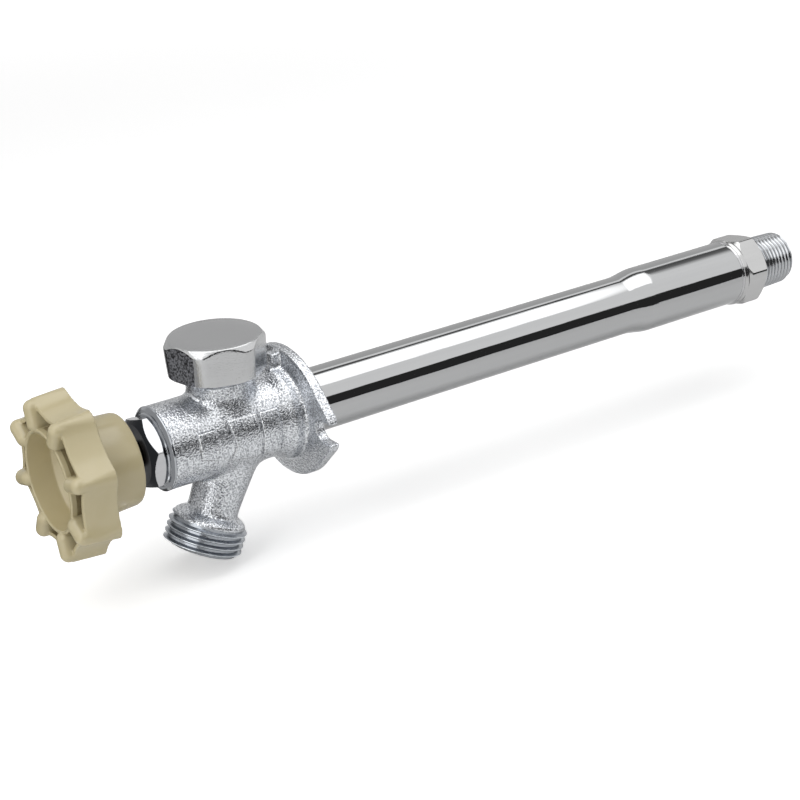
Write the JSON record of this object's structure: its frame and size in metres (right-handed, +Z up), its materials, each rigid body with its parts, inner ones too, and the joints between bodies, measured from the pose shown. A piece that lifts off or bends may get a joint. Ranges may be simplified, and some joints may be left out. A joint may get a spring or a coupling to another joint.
{
  "type": "frost free sillcock",
  "caption": "Frost free wall sillcock: lobed handle, plated cast body with hose spout, capped vacuum breaker, wall flange and long tube to a seat at the inlet fitting.",
  "frame": {"origin": "centre of the flange's wall face, on the tube's axis", "axes": "+Y along the tube into the wall to the inlet, -Y to the handle, +Z up through the breaker cap, +X to the side the picture shows"},
  "size_m": [0.0608, 0.3208, 0.0783],
  "materials": {
    "plated_casting": "plated over a grainy sand casting",
    "plated_tube": "polished plate on drawn tube",
    "plated_fitting": "bright plate on turned brass",
    "plated_nut": "bright plate on milled brass",
    "plated_cap": "satin plate",
    "handle_plastic": "semi-gloss moulded, tan",
    "bare_brass": "turned",
    "stainless": "turned",
    "seal_rubber": "matte",
    "graphite_packing": "matte pressed packing",
    "white_plastic": "moulded acetal"
  },
  "bodies": {
    "fixed_body": {"valve_body": "plated_casting", "supply_tube": "plated_tube", "inlet_fitting": "plated_fitting", "braze_ring": "plated_fitting", "packing_nut": "plated_nut", "stem_packing": "graphite_packing", "packing_washer": "bare_brass", "stem_bushing": "bare_brass", "bushing_o_ring": "seal_rubber", "breaker_cap": "plated_cap", "breaker_insert": "bare_brass", "breaker_o_ring": "seal_rubber"},
    "seat_plug": {"washer_holder": "bare_brass", "seat_washer": "seal_rubber", "seat_screw": "stainless", "stem_clip": "stainless"},
    "stem_and_handle": {"handle": "handle_plastic", "handle_screw": "stainless", "handle_washer": "stainless", "valve_stem": "bare_brass", "stem_guide": "white_plastic"},
    "float_assembly": {"breaker_float": "white_plastic", "float_disc": "seal_rubber", "float_retainer": "stainless"}
  },
  "joints": [
    {"name": "stem_travel", "type": "slide", "parent": "fixed_body", "child": "seat_plug", "axis": [0, -1, 0], "range_m": [0, 0.00635]},
    {"name": "handle_turn", "type": "hinge", "parent": "seat_plug", "child": "stem_and_handle", "pos_m": [0, -0.07, 0], "axis": [0, -1, 0], "range_deg": [0, 900]},
    {"name": "float_rise", "type": "slide", "parent": "fixed_body", "child": "float_assembly", "axis": [0, 0, 1], "range_m": [0, 0.003]}
  ],
  "couplings": [
    {"joint": "handle_turn", "follows": "stem_travel", "rad_per_m": 2473.7}
  ]
}
